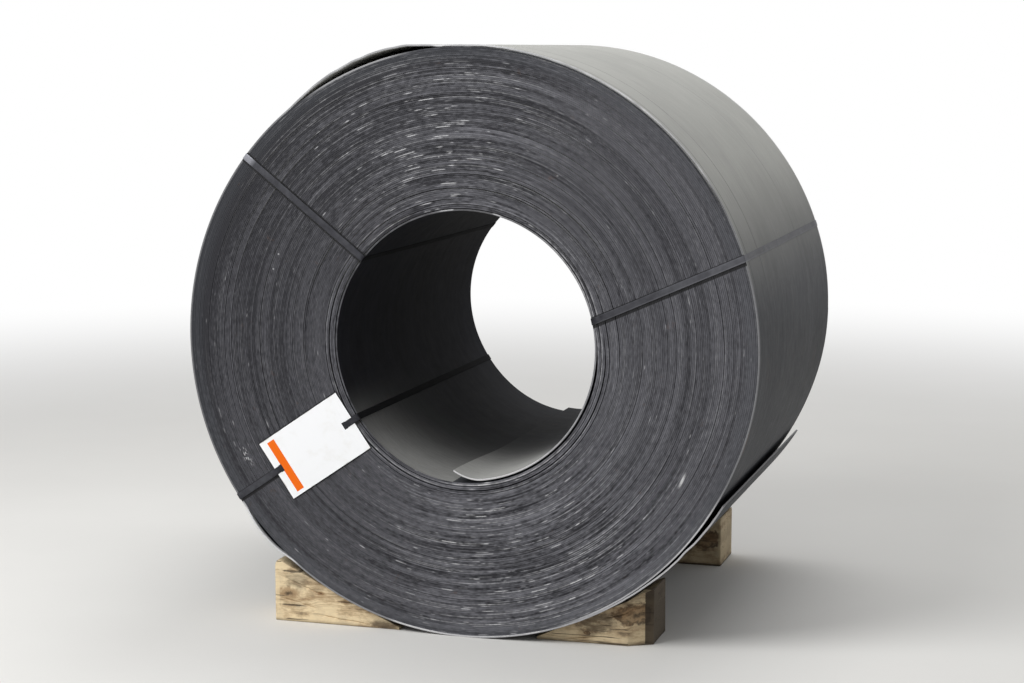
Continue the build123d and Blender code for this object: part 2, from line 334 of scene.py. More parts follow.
class StripSettings(bpy.types.PropertyGroup):
    """The wound strip."""

    thickness: length("Thickness", "Strip and the air over it", 5)
    air: length("Air", "Least gap between one turn and the next", 0.12)
    edge_round: length("Edge round", "How far the rolled edge is rounded", 0.6)
    stagger: length("Stagger", "How far turns stand back from the end", 2.6)
    tongue_angle: angle("Tongue", "Where the inner free end lies", 265)
    tongue_gap: length("Tongue gap", "Gap behind the tongue", 6)
    tongue_free_arc: angle("Free arc", "How far round the tongue stands free", 105)
    tongue_step_arc: angle("Step arc", "How far round the strip climbs over the tongue", 60)
    curl: length("Curl", "How far the tip of the tongue is bent into the eye", 24)
    curl_reach: length("Curl reach", "Length of the bent tip", 85)
    tail_angle: angle("Tail", "Where the outer free end lies", 331)
    tail_step_arc: angle("Tail step", "How far round the outside climbs past the tail", 24)
    tail_lift_angle: angle("Tail lift from", "Where the tail leaves the coil", 297)
    tail_lift: length("Tail lift", "How far the free end stands off", 15)
    top_rise: length("Top slack", "How far the outer turn stands off at the top", 19)
    side_rise: length("Side slack", "How far it stands off at the lower left", 11)
    set_back: length("Set back", "How far the outer turn stands back at the upper right", 11)
    loose_places: IntProperty(name="Loose places", description="Gaps between wound turns", default=34, min=0)
    scuff_angle: angle("Scuff", "Where the rubbed place on the near end lies", 331.1)
    scuff_radius: length("Scuff radius", "From the axis to the rubbed place", 721)
    graze_angle: angle("Graze", "Where the fainter rubbed place lies", 207.5)
    graze_radius: length("Graze radius", "From the axis to the fainter place", 755)
    seed: IntProperty(name="Seed", description="Draws other turns", default=7, min=0)
    edge_dark: colour("Edge, dark", "Strip edge in its darker turns", 35, 35, 40)
    edge_light: colour("Edge, light", "Strip edge in its lighter turns", 113, 113, 119)
    edge_blue: colour("Edge, blue", "Strip edge in the outermost turns", 62, 65, 70)
    # Colour of the painted shadow beside the straps and round the card.
    shade: colour("Shade", "Dirt and shade by the straps and the tag", 16, 16, 18)
    # Also the colour of the painted highlights on the edges and the near rim.
    worn: colour("Worn", "Edge rubbed bright", 208, 208, 210)
    scale_dark: colour("Scale, dark", "Dark mill scale", 34, 36, 40)
    scale_light: colour("Scale, light", "Lighter mill scale", 66, 67, 71)
    # The scale of the eye's wall, painted darker as shade.
    eye_dark: colour("Eye, dark", "Dark scale on the wall of the eye", 17, 17, 21)
    eye_light: colour("Eye, light", "Lighter scale on the wall of the eye", 34, 35, 41)
    # Dust on the eye's floor, also carrying a painted pool of light.
    eye_dust: colour("Eye, dust", "Dust on the floor of the eye", 172, 172, 169)
    # Dust on top, also carrying a painted sky sheen.
    dust: colour("Dust", "Dust that lies on top", 186, 186, 181)
    rust: colour("Rust", "Thin rust", 96, 66, 46)


class StrapSettings(bpy.types.PropertyGroup):
    """The steel straps and their seals."""

    bend: length("Bend", "Radius of the strap over the coil's edges", 2.2)
    steel: colour("Strap", "Blackened strap", 31, 31, 36)
    bare: colour("Bare", "Strap rubbed bright", 148, 149, 156)
    rust: colour("Rust", "Specks of rust", 92, 66, 50)
    # Painted shade of the strap in the eye.
    in_eye: colour("In the eye", "Strap in the dark of the eye", 7, 7, 8)
    zinc: colour("Seal", "Zinc of the seals", 150, 152, 155)
    dull_zinc: colour("Seal, dull", "Dull zinc", 96, 98, 102)


class TagSettings(bpy.types.PropertyGroup):
    """The card tag."""

    thickness: length("Thickness", "Thickness of the card", 0.3)
    slot_length: length("Slot length", "Length of each slot, across the card", 22)
    slot_width: length("Slot width", "Width of each slot", 11)
    inner_slot: length("Inner slot", "From the inner end to its slot", 30)
    outer_slot: length("Outer slot", "From the outer end to its slot", 20)
    bar_inset: length("Bar inset", "From the outer end to the bar", 23)
    bar_width: length("Bar width", "Width of the bar", 25)
    bar_length: length("Bar length", "Length of the bar", 166)
    card: colour("Card", "White card", 246, 247, 249)
    mottled: colour("Mottled", "Card in its greyer places", 228, 226, 221)
    grubby: colour("Grubby", "Edges of the card", 150, 142, 130)
    smudge: colour("Smudge", "Handling marks", 168, 164, 156)
    bar: colour("Bar", "Printed bar", 240, 106, 14)
    bar_thin: colour("Bar, thin", "Bar where the ink is thin", 246, 128, 34)


class ChockSettings(bpy.types.PropertyGroup):
    """The timber wedges."""

    arris: length("Arris", "Wear of the edges", 5)
    split_length: length("Split length", "Along the near right wedge, what its heel has lost", 70)
    split_depth: length("Split depth", "From its near face, what its heel has lost", 40)
    pale: colour("Pale wood", "Clean wood", 238, 217, 178)
    brown: colour("Brown wood", "Late wood and knots", 142, 108, 72)
    grey: colour("Grey wood", "Weathered wood", 176, 160, 134)
    # Also the colour of the painted shade on the wedges.
    dirt: colour("Dirt", "Oil and dirt", 52, 44, 36)


class StageSettings(bpy.types.PropertyGroup):
    """Floor, lights and camera."""

    floor: colour("Floor", "Pale floor", 226, 225, 222)
    floor_grey: colour("Floor, grey", "Floor in its greyer places", 214, 213, 210)
    key: FloatProperty(name="Key", description="Power of the big soft lamp", unit="POWER", default=250)
    sky: FloatProperty(name="Sky", description="Strength of the light from all round", default=0.45)
    lens: FloatProperty(name="Lens", description="Focal length", unit="CAMERA", default=75)


SETTINGS = {
    "coil_strip": StripSettings,
    "coil_straps": StrapSettings,
    "coil_tag": TagSettings,
    "coil_chocks": ChockSettings,
    "coil_stage": StageSettings,
}


def tuples(settings, names):
    """Colours of a group of settings as plain tuples."""
    return [tuple(getattr(settings, name)) for name in names.split()]


def new_mesh(name, points, faces):
    mesh = bpy.data.meshes.new(name)
    mesh.from_pydata(np.asarray(points).tolist(), [], faces)
    return mesh


def new_object(name, data, place=(0, 0, 0), target=None):
    """An object in the scene, at a place and, if it has one, turned towards its target."""
    new = bpy.data.objects.new(name, data)
    new.location = place
    if target:
        aim = Vector(target) - new.location
        new.rotation_euler = aim.to_track_quat("-Z", "Y").to_euler()
    bpy.context.scene.collection.objects.link(new)
    return new


def new_piece(name, points, faces, materials, indices=None, attributes=None, sharp=35.0):
    """A mesh object that rides on the coil, smooth except at its sharp edges."""
    mesh = new_mesh(name, points, faces)
    for material in materials:
        mesh.materials.append(material)
    if indices is not None:
        mesh.polygons.foreach_set("material_index", indices)
    for key, values in (attributes or {}).items():
        layer = mesh.attributes.new(key, "FLOAT", "POINT")
        layer.data.foreach_set("value", np.asarray(values, np.float32).ravel())
    mesh.polygons.foreach_set("use_smooth", [True] * len(mesh.polygons))
    mesh.update()
    mesh.set_sharp_from_angle(angle=math.radians(sharp))
    piece = new_object(name, mesh)
    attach(piece, "root")
    return piece


class Gap(NamedTuple):
    """A loose place between turns. All but its width in metres is counted in turns."""

    start: float
    arc: float
    ramp: float
    width: float
    fades_over: int
    closing: float = 0.06

    def push(self, turn):
        """How far it pushes the strip outwards, less in each turn further out."""
        passed = turn - self.start
        layer = np.floor(passed)
        way = passed - layer
        share = np.clip(1 - layer / self.fades_over, 0, 1) * (layer >= 0)
        return self.width * share * smooth(way / self.ramp) * smooth((self.arc - way) / self.closing)


class Winding:
    """Where the strip lies along its length, which is measured in turns from the tongue."""

    STEP_FADE = 25  # turns over which the step of a free end evens out

    def __init__(self, settings):
        rng = np.random.default_rng(settings.seed)
        self.settings = settings
        self.tongue = math.degrees(settings.tongue_angle)
        self.tail = (math.degrees(settings.tail_angle) - self.tongue) % 360
        self.step_arc = math.degrees(settings.tongue_step_arc)
        self.whole = round((COIL_RADIUS - EYE_RADIUS) / settings.thickness) - 1
        self.end = self.whole + self.tail / 360
        span = self.end + 2
        self.slow, self.fine, self.tilt_curve, self.wear, self.far_slow = (
            wander(rng, span, step) for step in (0.45, 0.07, 0.21, 0.04, 0.6)
        )
        self.near_groups = self.groups(rng, span)
        self.far_groups = self.groups(rng, span)
        # The gap behind the tongue, four open ones near the eye, then narrow ones all through the coil.
        open_arc = math.degrees(settings.tongue_step_arc + settings.tongue_free_arc) / 360
        step = self.step_arc / 360
        self.gaps = [
            Gap(1 - step, open_arc, step, settings.tongue_gap, 18),
            Gap(4.65, 0.65, 0.05, 3.5 * MM, 12),
            Gap(1.3, 0.62, 0.06, 2.2 * MM, 10),
            Gap(2.85, 0.8, 0.05, 1.7 * MM, 20),
            Gap(6.5, 0.85, 0.05, 2.0 * MM, 22),
        ]
        for _ in range(settings.loose_places):
            start, arc = rng.uniform(8, self.whole - 10), rng.uniform(0.1, 0.6)
            self.gaps.append(Gap(start, arc, 0.05, rng.uniform(0.4, 1.3) * MM, 8))
        self.torn = wander(rng, span, 0.006)

    @staticmethod
    def groups(rng, span):
        """Steps between groups of turns: how far each group stands back, from 0 to 1."""
        edges = np.cumsum(rng.uniform(1.5, 9, int(span)))
        levels = rng.uniform(0, 1, int(span) + 1)
        places = np.repeat(edges, 2) + np.tile([-0.15, 0.15], int(span))
        heights = np.repeat(levels, 2)[1:-1]
        return lambda turn: np.interp(turn, places, heights)

    def angle(self, turn):
        """The angle round the axis, in degrees."""
        return self.tongue + 360 * turn

    def radius(self, turn):
        """From the axis to the inside of the strip."""
        s = self.settings
        whole = np.floor(turn)
        way = (turn - whole) * 360
        inner_step = smooth((way - 360 + self.step_arc) / self.step_arc)
        outer_step = smooth((way - self.tail) / math.degrees(s.tail_step_arc))
        # By its ends a turn climbs in one step, over the tongue or past the tail, and between evenly.
        inner_share = np.exp(-turn / self.STEP_FADE)
        outer_share = np.exp(-np.clip(self.whole - 1 - turn, 0, None) / self.STEP_FADE)
        climb = inner_share * inner_step + outer_share * outer_step
        climb += (1 - inner_share - outer_share) * way / 360
        return EYE_RADIUS + s.thickness * (whole + climb) + sum(gap.push(turn) for gap in self.gaps)

    def tight(self, turn):
        """1 in the outermost turns, which lie close and even, and 0 in the rest."""
        return smooth((turn - self.whole + 12) / 3) * (1 - smooth((turn - self.whole + 1.5) / 0.4))

    def metal(self, turn):
        """Thickness of the strip itself, never more than the room under the next turn."""
        air = self.settings.air * (1 - 0.4 * self.tight(turn))
        room = self.radius(turn + 1) - self.radius(turn) - air
        usual = self.settings.thickness - air * (1.6 + 0.6 * self.fine(turn))
        return np.where(turn < self.end - 1, np.minimum(room, usual), self.settings.thickness)

    def set_back(self, turn):
        """From the near end of the coil to the edge of the strip."""
        s = self.settings
        loose = s.stagger * self.near_groups(turn) * 0.75
        uneven = 0.5 * MM * (1 + self.slow(turn)) + 0.3 * MM * (1 + self.fine(turn))
        loose += uneven * (1 - 0.3 * self.tight(turn))
        around = self.angle(turn) % 360
        outer = smooth(turn - self.whole + 1.9) * window(around, *STANDS_BACK, 14)
        torn = (turn > self.end - 1) * window(around, *TORN_BACK, 5) * (1.2 + self.torn(turn)) * 1.8 * MM
        return loose + s.set_back * outer + torn

    def far_set_back(self, turn):
        """From the far end of the coil to the other edge."""
        return self.settings.stagger * self.far_groups(turn) + 0.5 * MM * (1 + self.far_slow(turn))

    def tilt(self, turn):
        """How much further back the inner corner of the edge lies than the outer one."""
        return 0.45 * MM * self.tilt_curve(turn)

    def shine(self, turn):
        """How much the edge gets a painted highlight, partly from wear: on the tongue and where the
        outermost turn stands out.
        """
        around = self.angle(turn) % 360
        wear = self.wear(turn)
        last = smooth((turn - self.end + 1) / 0.03)
        outermost = np.maximum(last, smooth((turn - self.whole + 0.94) / 0.04))
        low = window(around, *BRIGHT_LOW, 8) * (0.75 + 0.5 * wear)
        low = low * (1 - window(around, *DULLED_LOW, 2) * (0.85 - 0.5 * (wear > 0.7)))
        top = window(around, *BRIGHT_TOP, 8) * (0.6 + 0.25 * self.torn(turn))
        top = top * (1 - 0.5 * window(around, *DULLED_TOP, 5))
        shown = outermost * np.where(turn > self.whole, 0.7, 1.0) * (0.22 + top + low)
        under = smooth((turn - self.whole + 1.95) / 0.03) * (1 - outermost)
        under = under * window(around, *BRIGHT_UNDER_SLACK, 8)
        tip = 0.8 * (1 - smooth(turn / 0.2)) + 0.3 * (1 - smooth(turn / 0.9))
        return np.maximum(tip, np.maximum(shown, 0.5 * under))


def strip_band(name, winding, first, last, per_turn, materials, stations=0, shift=None):
    """A stretch of the strip as a closed solid: rounded edges, broad faces, and a cut at each end."""
    s = winding.settings
    turn = np.linspace(first, last, round((last - first) * per_turn) + 1)
    around = np.radians(winding.angle(turn))
    inside, metal = winding.radius(turn), winding.metal(turn)
    near = -HALF_WIDTH + winding.set_back(turn)
    far = HALF_WIDTH - winding.far_set_back(turn)
    tilt = winding.tilt(turn)
    # A rounded edge from inside to outside, as shares of the thickness, and how deep each point lies.
    edge = s.edge_round / s.thickness * (1 - 0.25 * winding.tight(turn))
    across = (0, edge * 0.75, 0.5, 1 - edge * 0.75, 1)
    depths = [edge * s.thickness * share for share in (1, 0.22, 0, 0.22, 1)]
    between = [(i + 1) / (stations + 1) for i in range(stations)]
    # Points round the strip: near edge, outside, far edge, inside. They lie closer by the near end.
    ring = [(a, near + d + tilt * (0.5 - a)) for a, d in zip(across, depths)]
    ring += [(1, near + (far - near) * share**1.6) for share in between]
    ring += [(a, far - d) for a, d in zip(reversed(across), reversed(depths))]
    ring += [(0, near + (far - near) * share**1.6) for share in reversed(between)]
    points = np.empty((len(turn), len(ring), 3))
    for column, (share, y) in enumerate(ring):
        distance = inside + metal * share
        if shift:
            distance = distance + shift(turn, y)
        points[:, column, 0] = distance * np.cos(around)
        points[:, column, 1] = y
        points[:, column, 2] = AXIS_HEIGHT + distance * np.sin(around)
    size, rounded = len(ring), len(across)
    start = np.arange(len(turn) - 1)[:, None] * size
    here = np.arange(size)[None, :]
    after = (here + 1) % size
    quads = np.stack([start + here, start + after, start + size + after, start + size + here], -1)
    faces = quads.reshape(-1, 4).tolist()
    is_edge = np.zeros(size, int)
    is_edge[:rounded - 1] = 1
    is_edge[rounded + stations:2 * rounded + stations - 1] = 1
    indices = np.tile(is_edge, len(turn) - 1).tolist()
    faces.append(list(reversed(range(size))))
    faces.append([(len(turn) - 1) * size + i for i in range(size)])
    indices += [1, 1]
    repeat = np.ones((1, size))
    # Lengths of different stretches lie far apart, so that their noise differs.
    length_so_far = np.cumsum(inside * np.gradient(around)) + first * 100
    upper = np.stack([share + 0 * turn for share, _ in ring], 1)
    attributes = {
        "length": length_so_far[:, None] * repeat,
        "shine": winding.shine(turn)[:, None] * repeat,
        "upper": np.where(np.sin(around)[:, None] > 0, upper, 1 - upper),
    }
    piece = new_piece(name, points.reshape(-1, 3), faces, materials, indices, attributes)
    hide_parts("steel_coil")


def curled_tongue(winding):
    """The shift of the eye's own turn: its free tip is bent into the eye, most at the near end."""
    s = winding.settings

    def shift(turn, y):
        along = turn * 2 * math.pi * EYE_RADIUS
        bent = np.clip(1 - along / s.curl_reach, 0, 1) ** 1.7
        return -s.curl * bent * (0.1 + 0.9 * (1 - smooth(depth_share(y) / 0.45)))

    return shift


def slack_outer_turn(winding):
    """The shift of the outermost turn: two slack places, a lifted and dented tail, a ragged near edge."""
    s = winding.settings
    rng = np.random.default_rng(s.seed + 1)
    ragged = wander(rng, 400, 1.7)
    ripple = wander(rng, 400, 9)
    lift_from, lift_to = math.degrees(s.tail_lift_angle), math.degrees(s.tail_angle)

    def hump(around, start, end, lean):
        share = np.clip((around - start) / (end - start), 0, 1)
        return np.sin(math.pi * share**lean)

    def shift(turn, y):
        around = winding.angle(turn) % 360
        depth = depth_share(y)
        at_edge = 1 - smooth(depth / 0.05)
        rise = s.top_rise * hump(around, *TOP_SLACK, 0.72) * (1 - 0.25 * depth)
        rise = rise + s.side_rise * hump(around, *SIDE_SLACK, 1.0) * (1 - 0.2 * depth)
        torn = window(around, *TORN_TOP, 5) + 0.5 * window(around, *TORN_SIDE, 4)
        torn = torn * at_edge * (1.1 + ragged(around)) * 1.6 * MM
        # Nothing stands higher than the top of the coil.
        room = np.clip(COIL_RADIUS / np.maximum(np.sin(np.radians(around)), 0.5) - COIL_RADIUS, 0, None)
        rise = np.where(around < 180, np.minimum(rise + torn, room), rise + torn)
        share = np.clip((around - lift_from) / (lift_to - lift_from), 0, 1)
        dent = -2.6 * MM * window(around, *TAIL_DENT, 1.6) * (0.35 + 0.65 * (1 - smooth(depth / 0.2)))
        bent = np.where(share > 0.2, dent + 0.7 * MM * at_edge * ragged(around), 0)
        lift = s.tail_lift * share**1.6 + bent
        waves = 0.35 * MM * (ripple(around) - 1) * (1 - at_edge) * (turn < winding.whole)
        return np.where(turn > winding.whole, lift, rise) + waves

    return shift


def strap_angles(node):
    """Angles of a strap's run in the eye and of its run along the outside, and how near and far it lies."""
    points = node_points(node)
    distance = np.hypot(points[:, 0], points[:, 2])
    angles = []
    for kept in (distance < EYE_RADIUS, distance > COIL_RADIUS):
        angles.append(math.atan2(points[kept, 2].mean(), points[kept, 0].mean()))
    return angles, distance.min(), distance.max()


def strap_painted_shadow(x, z):
    """1 along the sides of each strap on the ends, where its shadow is painted, and 0 away from them."""
    share = 0.0
    half = STRAP_WIDTH / 2
    for node, look in STRAPS.items():
        (inner, outer), nearest, furthest = strap_angles(node)
        start = Vector((math.cos(inner), math.sin(inner))) * nearest
        end = Vector((math.cos(outer), math.sin(outer))) * furthest
        along = (end - start).normalized()
        side = Vector((-along.y, along.x)) * (1 if along.x > 0 else -1)
        away = (x - start.x) * side.x + (z - start.y) * side.y
        passed = (x - start.x) * along.x + (z - start.y) * along.y
        beside = away.rise(-half - STRAP_SHADOW_FADE - look.shadow_below, -half - look.shadow_below)
        beside = beside * away.fall(half + look.shadow_above, half + STRAP_SHADOW_FADE + look.shadow_above)
        share = beside * passed.rise(-0.01, 0.0) + share
    return share.clamp()


class TagPlace:
    """Where the card hangs: directions along and across it, its two ends and half its width."""

    def __init__(self):
        (inner, _), _, _ = strap_angles("strap_lower_left")
        self.along = np.array((math.cos(inner), 0, math.sin(inner)))
        self.across = np.array((-math.sin(inner), 0, math.cos(inner)))
        along = node_points("tag") @ self.along
        self.start, self.end = along.min(), along.max()
        self.half = (node_points("tag") @ self.across).max()

    def measure(self, x, z):
        """How far along the card a place lies, and how far from its middle line."""
        along = x * self.along[0] + z * self.along[2]
        return along, abs(x * self.across[0] + z * self.across[2])

    def shade(self, x, z):
        """1 under the rim of the card and close to it, where it keeps the light off the coil."""
        along, across = self.measure(x, z)
        past = abs(along - (self.start + self.end) / 2)
        reach = (self.end - self.start) / 2
        near, far = 2.5 * MM, 5 * MM
        return across.fall(self.half + near, self.half + far) * past.fall(reach + near, reach + far)


def edge_material(settings):
    """Strip edges: a tone for each turn, fine streaks, painted highlight dashes at top and bottom, specks,
    painted shadow by the straps and the tag.
    """
    dark, light, blue, worn, rust, shade = tuples(
        settings, "edge_dark edge_light edge_blue worn rust shade"
    )
    paint = Paint("strip_edge")
    x, y, z, radius = paint.around_axis()
    strip, shine, upper = (paint.attribute(name) for name in ("length", "shine", "upper"))
    # The edges catch most light where they lie across its fall, a little left of the top, right of the foot;
    # this light is painted into their colour.
    steep = (z * 0.98 - x * 0.2) ** 2
    inner = radius.fall(COIL_RADIUS - 0.05, COIL_RADIUS - 0.025)
    near_eye = radius.fall(EYE_RADIUS + 0.012, EYE_RADIUS + 0.05)
    on_near_end = y.fall(-0.1, 0.0)
    streaks = paint.noise(paint.join(x * 9.0, z * 9.0, radius * 330.0), 1.0, 4.0, 0.65)
    rings = paint.noise(paint.join(x * 2.6, z * 2.6, radius * 115.0), 1.0, 2.0, 0.6)
    grain = paint.noise(paint.place, 260.0, 3.0, 0.7)
    cloud = paint.noise(paint.place, 3.2, 4.0)
    speckle = paint.along(strip, 45.0) - 0.5
    # Turns differ from their neighbours, least in the outermost ones, and the difference is painted stronger
    # at the top and the bottom, where the edges catch the light.
    turns = (paint.along(strip, 0.4) - 0.5) * 0.75
    turns = turns + (paint.along(strip, 2.3) - 0.5) * 0.95 + (paint.along(strip, 14.0) - 0.5) * 0.7
    slanting = (abs(z) * 0.8 - x * 0.6).rise(0.75, 1.0)
    right = (x * 0.97 - z * 0.24).rise(0.5, 1.0)
    lively = steep.rise(0.35, 0.98) * (0.75 - z * 0.13) + near_eye * 0.4 + right * 0.17 + 0.15
    lively = lively * (inner * 0.3 + 0.7) * (1 - slanting * 0.34)
    lightness = (turns + (streaks - 0.5) * 0.6 + (rings.rise(0.36, 0.64) - 0.5) * 0.46) * lively
    lightness = lightness + speckle * (lively * 0.57 + 0.34)
    # The broad light and dark of the ends: darker at the upper left and outermost, lighter right and low.
    left = (0 - x).rise(-0.2, 0.9)
    lightness = lightness + (cloud - 0.5) * 0.2 + 0.43 + x * z * 0.06 - left * 0.15 + x.rise(0.2, 0.8) * 0.08
    # Painted highlight where the edges lie across the light, then darker towards the top.
    lightness = lightness + steep * 0.1 - z.rise(-0.3, 0.8) * 0.13
    high_left = (z * 0.8 - x * 0.6).rise(0.3, 0.95) * radius.rise(0.7, 0.8)
    lightness = lightness - radius.rise(0.7, 0.79) * left * 0.12 - high_left * 0.16
    lightness = lightness + (1 - inner) * (0 - z).rise(0.4, 0.95) * 0.2
    # Painted shade: turns that stand back from the end are darker.
    recess_shade = (HALF_WIDTH - abs(y)).rise(0.0014, 0.0042)
    lightness = lightness + near_eye * 0.12 - recess_shade * 0.4
    spots = paint.noise(paint.place, 21.0, 5.0, 0.7).rise(0.64, 0.74)
    # Painted highlights where the upper corner of an edge catches the light: long faint arcs and short
    # bright dashes.
    corner = upper.rise(0.25, 0.6)
    arcs = paint.along(strip, 1.7).rise(0.56, 0.66) * corner * (lively * 0.3 + near_eye * 0.2)
    arcs = arcs * (speckle.rise(-0.2, 0.15) * 0.6 + 0.4)
    dashes = (paint.along(strip, 12.0) + speckle * 0.3 + steep**6 * 0.17).rise(0.74, 0.9)
    dashes = dashes * paint.along(strip, 1.3).rise(0.35, 0.65) * corner * (grain * 0.5 + 0.4)
    dashes = dashes * (inner * 0.5 + 0.5) * (1 - high_left * 0.6) * (steep * 0.4 + 0.6)
    cells = paint.node("ShaderNodeTexVoronoi", {"Vector": paint.place, "Scale": 15.0})
    specks = cells.fall(0.03, 0.05) * cloud.rise(0.56, 0.63) * 0.7
    scuff = paint.rubbed_place(settings.scuff_angle, settings.scuff_radius, 0.006, 0.03) * 1.3
    graze = paint.rubbed_place(settings.graze_angle, settings.graze_radius, 0.016, 0.045)
    scuff = scuff + graze * paint.along(strip, 60.0).rise(0.5, 0.6) * corner * 0.9
    rubbed_and_highlight = (shine * (streaks * 0.5 + 0.75) + arcs + dashes + specks + scuff).clamp()
    rubbed_and_highlight = rubbed_and_highlight * (grain.rise(0.3, 0.5) * 0.3 + 0.7)
    # Painted shadow beside the straps and round the rim of the card.
    shaded = (strap_painted_shadow(x * radius, z * radius) + TagPlace().shade(x * radius, z * radius)) * 0.92
    return paint.finish(
        base_color=paint.layers(
            paint.mix(dark, light, lightness.clamp()),
            (blue, (1 - inner) * 0.3),
            (rust, spots * 0.25),
            (worn, rubbed_and_highlight),
            (shade, (shaded * (on_near_end * 0.4 + 0.6)).clamp()),
        ),
        metallic=rubbed_and_highlight * 0.3,
        roughness=0.55 - rubbed_and_highlight * 0.15 + (grain - 0.5) * 0.2,
        normal=paint.bump(streaks * 0.5 + rings * 0.4 + grain * 0.3, 0.4 * MM, 0.7),
        specular=0.3,
    )


class MillScale(Paint):
    """Rolled steel under its scale: streaks along the strip, cloudy patches, flakes, thin scratches."""

    def __init__(self, name, dark, light):
        super().__init__(name)
        x, y, z, _ = self.around_axis()
        self.x, self.y, self.z = x, y, z
        streaks = self.noise(self.join(x * 2.5, z * 2.5, y * 34.0), 1.0, 5.0, 0.6)
        flake = self.noise(self.place, 34.0, 6.0, 0.7)
        grain = self.noise(self.place, 420.0, 2.0, 0.6)
        drawn = self.join(x * 1.6 + y * 3.0, z * 1.6, y * 520.0)
        self.fine = self.noise(self.join(x * 9.0, z * 9.0, y * 240.0), 1.0, 3.0, 0.6)
        self.cloud = self.noise(self.place, 2.6, 5.0, 0.6)
        self.scratch = self.noise(drawn, 1.0, 1.0).rise(0.72, 0.76)
        lightness = (streaks - 0.5) * 1.1 + (self.cloud - 0.5) * 1.2 + (flake - 0.5) * 0.5 + 0.42
        flaked = flake.rise(0.6, 0.68) * self.cloud.rise(0.45, 0.62)
        self.base = self.layers(dark, (light, lightness.clamp()), (light, flaked * 0.6))
        self.roughness = 0.42 + (flake - 0.5) * 0.25 + (self.fine - 0.5) * 0.18
        self.height = streaks * 0.6 + flake * 0.35 + self.fine * 0.2 + grain * 0.1 + flaked * 0.25


def outside_material(settings):
    """Outside of the strip: mill scale, creases along it with painted shade, rusty margins, pale dust and a
    painted sky sheen where it faces up, a painted highlight along the near rim.
    """
    dark, light, dust, rust, worn = tuples(settings, "scale_dark scale_light dust rust worn")
    paint = MillScale("mill_scale_outside", dark, light)
    cloud = paint.cloud
    from_near_end = paint.y + HALF_WIDTH
    from_end = HALF_WIDTH - abs(paint.y)
    blotch = paint.noise(paint.place, 9.0, 6.0, 0.7).rise(0.58, 0.74)
    # Pale dust with a painted sky sheen, where the outside faces up.
    dust_and_sheen_on_top = (paint.z.rise(0.12, 0.66) * (0.66 + cloud * 0.4 + (paint.fine - 0.5) * 0.5)).clamp()
    # Three faint creases run along the strip and waver a little, with painted shade along them.
    wave = (cloud - 0.5) * 0.03
    creases = (from_near_end + wave * 0.2).near(0.042, 0.005) + (from_near_end - wave).near(0.2, 0.005) * 0.8
    creases = creases + (from_near_end + wave).near(0.83, 0.004) * 0.6
    creases = creases.clamp() * cloud.rise(0.3, 0.5)
    # A painted highlight, partly wear, along the near rim where the outermost turn stands out.
    edge = from_end.fall(0.009, 0.017)
    return paint.finish(
        base_color=paint.layers(
            paint.base,
            (worn, paint.scratch * cloud.rise(0.35, 0.6) * 0.28),
            (rust, blotch * (0.12 + from_end.fall(0.0, 0.05) * 0.35)),
            (dust, dust_and_sheen_on_top * 0.85),
            # Painted shade along the creases.
            (dark, creases * 0.7),
            (worn, (edge * paint.attribute("shine") * 0.75).clamp()),
        ),
        roughness=paint.roughness + 0.1 + dust_and_sheen_on_top * 0.2,
        normal=paint.bump(paint.height - creases * 1.4, 0.5 * MM, 0.6),
        specular=0.08,
    )


def eye_material(settings):
    """Wall of the eye: its scale painted dark as shade, dull, with pale dust and a painted pool of light on
    its floor near the end, most on the tongue.
    """
    dark, light, dust, rust = tuples(settings, "eye_dark eye_light eye_dust rust")
    paint = MillScale("mill_scale_eye", dark, light)
    # Painted light with the dust: brightest at the near end of the floor and on the tongue.
    low = (0 - paint.z).rise(0.3, 0.94)
    near = (paint.y + HALF_WIDTH).fall(0.0, 0.85)
    tip = math.cos(settings.tongue_angle)
    on_tongue = (paint.x - tip).rise(-0.004, 0.004) * 0.3 + 0.7
    streaky = 0.55 + paint.cloud * 0.7 + (paint.fine - 0.5) * 0.6
    blotch = paint.noise(paint.place, 12.0, 6.0, 0.7).rise(0.6, 0.74)
    return paint.finish(
        base_color=paint.layers(
            paint.base,
            (light, paint.scratch * 0.5),
            (dust, (low * (near * near * 1.02 + 0.05) * on_tongue * streaky).clamp()),
            (rust, blotch * low * 0.3),
        ),
        roughness=paint.roughness + 0.3,
        normal=paint.bump(paint.height, 0.5 * MM, 0.6),
        specular=0.05,
    )


class COIL_OT_strip(bpy.types.Operator):
    """Winds the strip: the eye's own turn, the wound turns in two stretches, and the outer turn"""

    bl_idname = "coil.strip"
    bl_label = "Wind the strip"

    def execute(self, context):
        settings = context.scene.coil_strip
        winding = Winding(settings)
        edge = edge_material(settings)
        outside = [outside_material(settings), edge]
        outer_from = winding.whole - 1
        middle = winding.whole // 2
        in_eye = [eye_material(settings), edge]
        curl = curled_tongue(winding)
        strip_band("strip_eye_turn", winding, 0, 1, 300, in_eye, stations=22, shift=curl)
        strip_band("strip_wound_inner", winding, 1, middle, 160, outside)
        strip_band("strip_wound_outer", winding, middle, outer_from, 180, outside)
        slack = slack_outer_turn(winding)
        strip_band(
            "strip_outer_turn", winding, outer_from, winding.end, 420, outside, stations=30, shift=slack
        )
        return {"FINISHED"}


